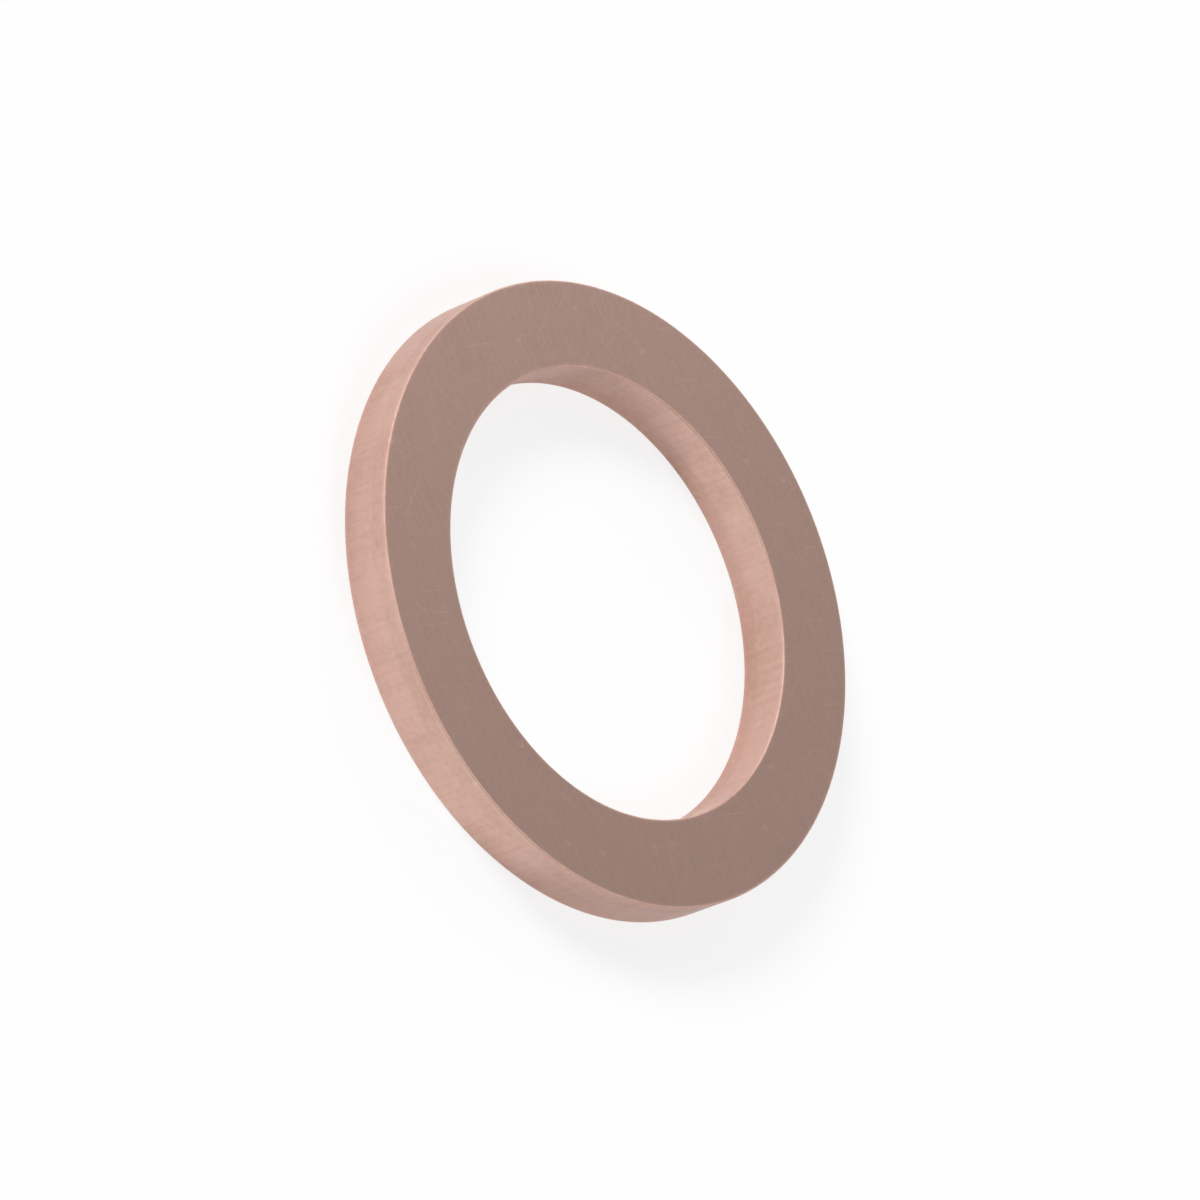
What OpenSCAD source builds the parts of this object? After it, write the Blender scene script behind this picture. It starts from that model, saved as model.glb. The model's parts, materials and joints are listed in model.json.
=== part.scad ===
/* [Ring] */
// Outside diameter of the washer
outer_d = 19.05; // [17.5:0.05:30]
// Diameter of the bore
bore_d = 13.72; // [5:0.02:16.5]
// Thickness, from one sealing face to the other
thickness = 1.65; // [0.5:0.05:4]

/* [Edges] */
// Radius worn onto the two outside corners by tumbling
outer_edge_r = 0.05; // [0.01:0.01:0.2]
// Radius worn onto the two corners of the bore by tumbling
bore_edge_r = 0.05; // [0.01:0.01:0.2]

/* [Hidden] */
// Facets in a full turn of the ring, and of the small arc on each corner
ring_facets = 256;
edge_facets = 64;
// How far a cutter stands past the corner that it rounds
overcut = 1;
outer_r = outer_d / 2;
bore_r = bore_d / 2;
land_w = outer_r - bore_r;
copper = "#c9a396";

// What tumbling rubs off a sharp corner at the origin that points along +X and +Y
module corner_waste(r) {
    difference() {
        translate([-r, -r]) square(r + overcut);
        translate([-r, -r]) circle(r, $fn = edge_facets);
    }
}

// Half of the ring's section: X runs out from the axis, Y runs up from the face it lies on
module ring_section() {
    difference() {
        translate([bore_r, 0]) square([land_w, thickness]);
        // Outside corners, upper and lower
        translate([outer_r, thickness]) corner_waste(outer_edge_r);
        translate([outer_r, 0]) mirror([0, 1]) corner_waste(outer_edge_r);
        // Corners of the bore, upper and lower
        translate([bore_r, thickness]) mirror([1, 0]) corner_waste(bore_edge_r);
        translate([bore_r, 0]) rotate(180) corner_waste(bore_edge_r);
    }
}

module washer() {
    color(copper) rotate_extrude($fn = ring_facets) ring_section();
}

washer();
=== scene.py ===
import json
import math

import bmesh
import bpy
from mathutils import Matrix, Vector


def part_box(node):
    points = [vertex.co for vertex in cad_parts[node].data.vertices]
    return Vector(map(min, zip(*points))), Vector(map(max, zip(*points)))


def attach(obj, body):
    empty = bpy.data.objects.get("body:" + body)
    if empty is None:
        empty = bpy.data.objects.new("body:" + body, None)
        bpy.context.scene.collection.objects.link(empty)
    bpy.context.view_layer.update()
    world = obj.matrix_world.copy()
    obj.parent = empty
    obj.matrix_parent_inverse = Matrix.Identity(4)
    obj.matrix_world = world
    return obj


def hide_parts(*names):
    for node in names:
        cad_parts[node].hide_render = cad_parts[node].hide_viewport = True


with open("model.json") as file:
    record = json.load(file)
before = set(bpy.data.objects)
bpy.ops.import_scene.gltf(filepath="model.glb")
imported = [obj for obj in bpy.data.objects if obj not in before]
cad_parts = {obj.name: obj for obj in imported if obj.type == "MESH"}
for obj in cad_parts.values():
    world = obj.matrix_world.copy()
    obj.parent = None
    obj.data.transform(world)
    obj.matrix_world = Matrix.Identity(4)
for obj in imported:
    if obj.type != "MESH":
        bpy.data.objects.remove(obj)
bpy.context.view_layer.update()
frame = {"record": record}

MM = 0.001
MICRON = 0.000001

# The washer's sizes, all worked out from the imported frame
low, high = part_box("washer")
bore_mount = next(m for m in frame["record"]["mounts"] if m["name"] == "bore")
OUTER_R = high.x
BORE_R = bore_mount["dims"]["r_mm"] * MM
THICKNESS = high.z - low.z
EDGE_R = (THICKNESS - bore_mount["dims"]["length_mm"] * MM) / 2
MIDDLE = Vector((0, 0, (low.z + high.z) / 2))

# How finely the ring and its rounded corners are stepped, and the least turn between two faces that
# counts as a corner
RING_STEPS = 288
EDGE_STEPS = 6
EDGE_ANGLE = math.radians(60)

# The photograph's view: how high the camera looks from, how far its picture is turned clockwise,
# and how far off it stands
CAMERA_HEIGHT = math.radians(40.72)
CAMERA_ROLL = math.radians(68.72)
CAMERA_AWAY = 30.74 * OUTER_R
LENS_MM = 300.7
SENSOR_MM = 36

# The studio, in degrees, metres and, for a lamp's strength, watts to the square metre. A lamp's turn is
# counted from +X. SKY_STOPS is how bright the sky is from the horizon, at 0, to straight overhead, at 1.
# The glows are how much of the floor's own white the camera and the metal see over its lit paint.
SKY_STOPS = ((0.0, 0.6), (0.35, 0.3), (0.65, 0.27), (0.85, 0.25), (1.0, 0.45))
LAMPS = {
    "main_lamp": {"turn": -156, "height": 30, "strength": 2.4, "width": 20},
    "back_lamp": {"turn": -240, "height": 32, "strength": 0.48, "width": 40},
    "side_lamp": {"turn": 5, "height": 55, "strength": 1.0, "width": 40},
}
WHITE = (1, 1, 1, 1)
FLOOR_PAINT = (0.94, 0.94, 0.94, 1)
FLOOR_R = 3.0
FLOOR_STEPS = 64
FLOOR_GAP = 0.01 * MM
CAMERA_GLOW = 0.75
METAL_GLOW = 0.08

# Soft copper after annealing and tumbling: the plain metal, the thin brown film that annealing leaves
# in patches, the clean metal where a corner, a scuff or a nick has been rubbed, and how rough the plain
# metal is
COPPER = (0.70, 0.468, 0.398, 1)
FILM = (0.59, 0.378, 0.310, 1)
RUBBED = (0.80, 0.560, 0.484, 1)
ROUGHNESS = 0.34

# How each mark's noise lies: how many spots it has to the millimetre along X, Y and Z, how many finer
# layers, and how strong each of them is beside the one before
NOISES = {
    "grain": ((6, 6, 6), 2, 0.6),
    "rolled": ((0.4, 8, 3), 2, 0.6),
    "sheared": ((7, 7, 0.25), 2, 0.6),
    "patches": ((0.5, 0.5, 0.5), 4, 0.6),
    "waver": ((0.8, 0.8, 0.8), 2, 0.5),
    "ragged": ((5, 5, 5), 2, 0.5),
    "scuffs": ((0.45, 13, 2), 1, 0.5),
}

# The middle of the noise as it comes and how much it is strengthened about it, the ways that scuffs
# lie, in degrees, and how close nicks lie, in nicks to the millimetre
NOISE_MIDDLE = 0.5
NOISE_STRENGTH = 4
SCUFF_TURNS = (12, 58, 101, 147)
NICKS_TO_MM = (0.9, 0.9, 0.9)

# Where each mark starts and where it is full: shares of the thickness for the torn parts, millimetres
# from a corner for the rubbed and the peened ones, noise for film and scuffs, and for nicks the way
# from a nick's middle, in shares of the way between nicks
TORN_OUTSIDE = (0.62, 0.70)
TORN_IN_BORE = (0.38, 0.30)
RUBBED_BAND = (0.16, 0.02)
PEENED_BAND = (1.3 * EDGE_R / MM, 0.7 * EDGE_R / MM)
FILM_LEVELS = (-0.6, 0.9)
SCUFF_LEVELS = (0.72, 1.1)
NICK_SPAN = (0.15, 0.04)

# How far noise shifts the edge of a mark, in the same measures, and how much of the shear's lines
# the torn part loses
TORN_WAVER = 0.05
RUBBED_RAGGED = 0.04
FILM_GRAIN = 0.15
NICK_RAGGED = 0.05
NICK_PATCHES = 0.06
TORN_CLEARS = 0.6

# What each mark does to the copper: how far it takes the colour towards the film's and then towards
# the rubbed metal's, how much it adds to the roughness, and how many microns it stands up
FILMED = {"film": 0.55, "torn": 0.25, "grain": 0.25, "rolled": 0.3, "sheared": 0.35}
CLEANED = {"rubbed": 0.4, "scuffed": 0.55, "nicked": 0.35}
ROUGHENED = {
    "film": 0.05,
    "torn": 0.05,
    "grain": 0.02,
    "rolled": 0.02,
    "sheared": 0.02,
    "peened": 0.39,
    "scuffed": -0.02,
}
RAISED = {"grain": 0.5, "rolled": 0.5, "sheared": 1.0, "scuffed": -0.4, "nicked": -2.5}


class Wire:
    """A value in a shader. Sums on it add Math nodes."""

    def __init__(self, shader, socket):
        self.shader = shader
        self.socket = socket

    def sum(self, operation, *values):
        return self.shader.add("ShaderNodeMath", {"operation": operation}, *values)

    def __add__(self, other):
        return self.sum("ADD", self, other)

    def __radd__(self, other):
        return self.sum("ADD", other, self)

    def __sub__(self, other):
        return self.sum("SUBTRACT", self, other)

    def __rsub__(self, other):
        return self.sum("SUBTRACT", other, self)

    def __mul__(self, other):
        return self.sum("MULTIPLY", self, other)

    def __rmul__(self, other):
        return self.sum("MULTIPLY", other, self)

    def __truediv__(self, other):
        return self.sum("DIVIDE", self, other)

    def __rtruediv__(self, other):
        return self.sum("DIVIDE", other, self)

    def __pow__(self, other):
        return self.sum("POWER", self, other)

    def __abs__(self):
        return self.sum("ABSOLUTE", self)

    def least(self, other):
        return self.sum("MINIMUM", self, other)

    def most(self, other):
        return self.sum("MAXIMUM", self, other)


class Shader:
    """The node tree of a material or world."""

    def __init__(self, owner):
        owner.use_nodes = True
        self.tree = owner.node_tree
        self.tree.nodes.clear()

    def add(self, kind, settings=None, *values, out=0, **named):
        """Adds a node, sets it up, feeds its sockets in order or by name, and returns one output."""
        node = self.tree.nodes.new(kind)
        for name, value in (settings or {}).items():
            if name == "stops":
                self.set_stops(node.color_ramp, value)
            else:
                setattr(node, name, value)
        fed = [(node.inputs[i], v) for i, v in enumerate(values) if v is not None]
        fed += [(node.inputs[n.replace("_", " ")], v) for n, v in named.items()]
        for socket, value in fed:
            if isinstance(value, Wire):
                self.tree.links.new(value.socket, socket)
            else:
                socket.default_value = value
        return Wire(self, node.outputs[out]) if node.outputs else node

    @staticmethod
    def set_stops(ramp, stops):
        while len(ramp.elements) < len(stops):
            ramp.elements.new(1)
        for element, (place, level) in zip(ramp.elements, stops):
            element.position = place
            element.color = (level, level, level, 1)


def photo_camera():
    """The camera at the photograph's viewing angle, looking down on the ring that lies flat."""
    data = bpy.data.cameras.new("photo_camera")
    data.lens = LENS_MM
    data.sensor_width = SENSOR_MM
    camera = bpy.data.objects.new("photo_camera", data)
    bpy.context.scene.collection.objects.link(camera)
    tilt = Matrix.Rotation(math.radians(90) - CAMERA_HEIGHT, 4, "X")
    roll = Matrix.Rotation(CAMERA_ROLL, 4, "Z")
    away = Matrix.Translation((0, 0, CAMERA_AWAY))
    camera.matrix_world = Matrix.Translation(MIDDLE) @ tilt @ roll @ away
    bpy.context.scene.camera = camera


def sky():
    """Soft light from all round, brightest along the horizon, and plain white to the camera."""
    world = bpy.data.worlds.new("sky")
    bpy.context.scene.world = world
    shader = Shader(world)
    way = shader.add("ShaderNodeTexCoord", out="Generated")
    height = shader.add("ShaderNodeSeparateXYZ", None, way, out="Z")
    level = shader.add("ShaderNodeValToRGB", {"stops": SKY_STOPS}, height)

    # The metal mirrors this soft light as it is. With the camera's white in it, the ring's top would
    # be far paler than the photograph's.
    seen = shader.add("ShaderNodeLightPath", out="Is Camera Ray")
    strength = level + seen * (1 - level)
    light = shader.add("ShaderNodeBackground", None, WHITE, strength)
    shader.add("ShaderNodeOutputWorld", None, light)


def far_lamp(name, turn, height, strength, width):
    """A soft lamp far off, so that it lights the whole floor alike."""
    data = bpy.data.lights.new(name, "SUN")
    data.energy = strength
    data.angle = math.radians(width)
    lamp = bpy.data.objects.new(name, data)
    bpy.context.scene.collection.objects.link(lamp)
    lean = Matrix.Rotation(math.radians(90 - height), 4, "Y")
    lamp.matrix_world = Matrix.Rotation(math.radians(turn), 4, "Z") @ lean


def floor_white():
    """Pale paint that takes the ring's shadow, under a white that the camera sees most of."""
    material = bpy.data.materials.new("floor_white")
    shader = Shader(material)
    paint = shader.add("ShaderNodeBsdfDiffuse", None, FLOOR_PAINT)
    white = shader.add("ShaderNodeEmission", None, WHITE, 1.0)
    seen = shader.add("ShaderNodeLightPath", out="Is Camera Ray")
    shined = shader.add("ShaderNodeLightPath", out="Is Glossy Ray")
    part = seen * CAMERA_GLOW + shined * METAL_GLOW
    mixed = shader.add("ShaderNodeMixShader", None, part, paint, white)
    shader.add("ShaderNodeOutputMaterial", None, mixed)
    return material


def floor():
    """A round floor, a hair below the ring so that the two never share a plane."""
    bpy.ops.object.select_all(action="DESELECT")
    place = (0, 0, low.z - FLOOR_GAP)
    bpy.ops.mesh.primitive_circle_add(
        vertices=FLOOR_STEPS, radius=FLOOR_R, fill_type="NGON", location=place
    )
    made = bpy.context.object
    made.name = "floor"
    made.data.materials.append(floor_white())


def in_mm(shader):
    """Places on the ring in its own frame, in millimetres."""
    place = shader.add("ShaderNodeTexCoord", out="Object")
    return shader.add("ShaderNodeMapping", None, place, Scale=(1 / MM, 1 / MM, 1 / MM))


def stretch(shader, spot, times):
    """Places with each of their three parts multiplied."""
    return shader.add("ShaderNodeVectorMath", {"operation": "MULTIPLY"}, spot, times)


def noise(shader, spot, mark):
    """Noise about 0, mostly within half a unit, that lies as this mark's does."""
    to_mm, layers, strength = NOISES[mark]
    place = stretch(shader, spot, to_mm)
    found = shader.add("ShaderNodeTexNoise", None, place, Scale=1.0, Detail=layers, Roughness=strength)
    return (found - NOISE_MIDDLE) * NOISE_STRENGTH


def ramp(shader, value, start, end):
    """Goes smoothly from 0 at the start to 1 at the end, whichever of them is the larger."""
    return shader.add("ShaderNodeMapRange", {"interpolation_type": "SMOOTHSTEP"}, value, start, end)


def blend(shader, part, first, second):
    """The first colour turning into the second as part goes from 0 to 1."""
    # A Mix node's two colours come after five sockets for other kinds of mix
    unused = (None,) * 5
    return shader.add("ShaderNodeMix", {"data_type": "RGBA"}, part, *unused, first, second, out=2)


def scuffs(shader, spot):
    """Hair-thin rubs from tumbling and handling, some 2 mm long, lying several ways."""
    found = 0
    for turn in SCUFF_TURNS:
        turned = shader.add("ShaderNodeMapping", None, spot, Rotation=(0, 0, math.radians(turn)))
        found = found + ramp(shader, noise(shader, turned, "scuffs"), *SCUFF_LEVELS)
    return found.least(1)


def nicks(shader, spot, uneven):
    """Shallow dents where washers knocked together in the tumbler, the widest 0.3 mm across."""
    place = stretch(shader, spot, NICKS_TO_MM)
    away = shader.add("ShaderNodeTexVoronoi", None, place, Scale=1.0, out="Distance")
    return ramp(shader, away + uneven, *NICK_SPAN)


def weigh(marks, weights):
    """Adds up the marks that the weights name, each times its weight."""
    total = 0
    for mark, weight in weights.items():
        total = total + marks[mark] * weight
    return total


def copper():
    """Satin copper sheet: rolled faces, sheared walls, corners rubbed clean and peened dull."""
    material = bpy.data.materials.new("copper")
    shader = Shader(material)
    spot = in_mm(shader)
    along = shader.add("ShaderNodeSeparateXYZ", None, spot, out="X")
    across = shader.add("ShaderNodeSeparateXYZ", None, spot, out="Y")
    height = shader.add("ShaderNodeSeparateXYZ", None, spot, out="Z")
    radius = (along * along + across * across) ** 0.5

    # How far a place is from the nearer face and the nearer wall. The larger of the two is how far it
    # is from the nearest corner.
    outer_r, bore_r, thick = OUTER_R / MM, BORE_R / MM, THICKNESS / MM
    from_face = thick / 2 - abs(height - thick / 2)
    from_wall = (outer_r - radius).least(radius - bore_r)
    from_corner = from_face.most(from_wall)
    wall = ramp(shader, from_face, 0, EDGE_R / MM)
    face = 1 - wall
    outside = ramp(shader, radius, bore_r, outer_r)

    grain = noise(shader, spot, "grain")
    patches = noise(shader, spot, "patches")
    ragged = noise(shader, spot, "ragged")

    # The shear tears the last third of each wall: the upper one outside, the lower one in the bore
    level = height / thick + noise(shader, spot, "waver") * TORN_WAVER
    torn_outside = outside * ramp(shader, level, *TORN_OUTSIDE)
    torn_in_bore = (1 - outside) * ramp(shader, level, *TORN_IN_BORE)
    torn = torn_outside + torn_in_bore

    marks = {
        "grain": grain,
        "rolled": noise(shader, spot, "rolled") * face,
        "sheared": noise(shader, spot, "sheared") * wall * (1 - torn * TORN_CLEARS),
        "torn": torn * wall,
        "film": ramp(shader, patches + grain * FILM_GRAIN, *FILM_LEVELS),
        "rubbed": ramp(shader, from_corner + ragged * RUBBED_RAGGED, *RUBBED_BAND),
        "peened": ramp(shader, from_corner, *PEENED_BAND),
        "scuffed": scuffs(shader, spot) * face,
        "nicked": nicks(shader, spot, ragged * NICK_RAGGED + patches * NICK_PATCHES),
    }

    colour = blend(shader, weigh(marks, FILMED), COPPER, FILM)
    colour = blend(shader, weigh(marks, CLEANED), colour, RUBBED)
    rough = ROUGHNESS + weigh(marks, ROUGHENED)
    bump = shader.add("ShaderNodeBump", None, Distance=MICRON, Height=weigh(marks, RAISED))
    metal = shader.add(
        "ShaderNodeBsdfPrincipled",
        None,
        Base_Color=colour,
        Metallic=1.0,
        Roughness=rough,
        Normal=bump,
    )
    shader.add("ShaderNodeOutputMaterial", None, metal)
    return material


def washer_ring():
    """A disc as thick as the sheet, its faces inset to the bore, the holes bridged, the corners rounded."""
    bpy.ops.object.select_all(action="DESELECT")
    bpy.ops.mesh.primitive_cylinder_add(
        vertices=RING_STEPS, radius=OUTER_R, depth=THICKNESS, end_fill_type="NGON", location=MIDDLE
    )
    ring = bpy.context.object
    ring.name = "copper_ring"
    bpy.ops.object.mode_set(mode="EDIT")
    bpy.ops.mesh.select_all(action="DESELECT")
    # Only the two flat faces
    shape = bmesh.from_edit_mesh(ring.data)
    for face in shape.faces:
        face.select_set(abs(face.normal.z) > abs(face.normal.x) + abs(face.normal.y))
    bmesh.update_edit_mesh(ring.data)
    bpy.ops.mesh.inset(thickness=OUTER_R - BORE_R, use_individual=True)
    bpy.ops.mesh.bridge_edge_loops()
    bpy.ops.object.mode_set(mode="OBJECT")
    bpy.ops.object.shade_smooth()
    bevel = ring.modifiers.new("edges", "BEVEL")
    bevel.width = EDGE_R
    bevel.segments = EDGE_STEPS
    bevel.limit_method = "ANGLE"
    bevel.angle_limit = EDGE_ANGLE
    bevel.harden_normals = True
    bpy.ops.object.modifier_apply(modifier=bevel.name)
    bpy.ops.object.transform_apply(location=True, rotation=True, scale=True)
    ring.data.materials.append(copper())
    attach(ring, "root")
    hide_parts("washer")


photo_camera()
sky()
for name, facts in LAMPS.items():
    far_lamp(name, **facts)
floor()
washer_ring()

scene = bpy.context.scene
scene.view_settings.view_transform = "Standard"
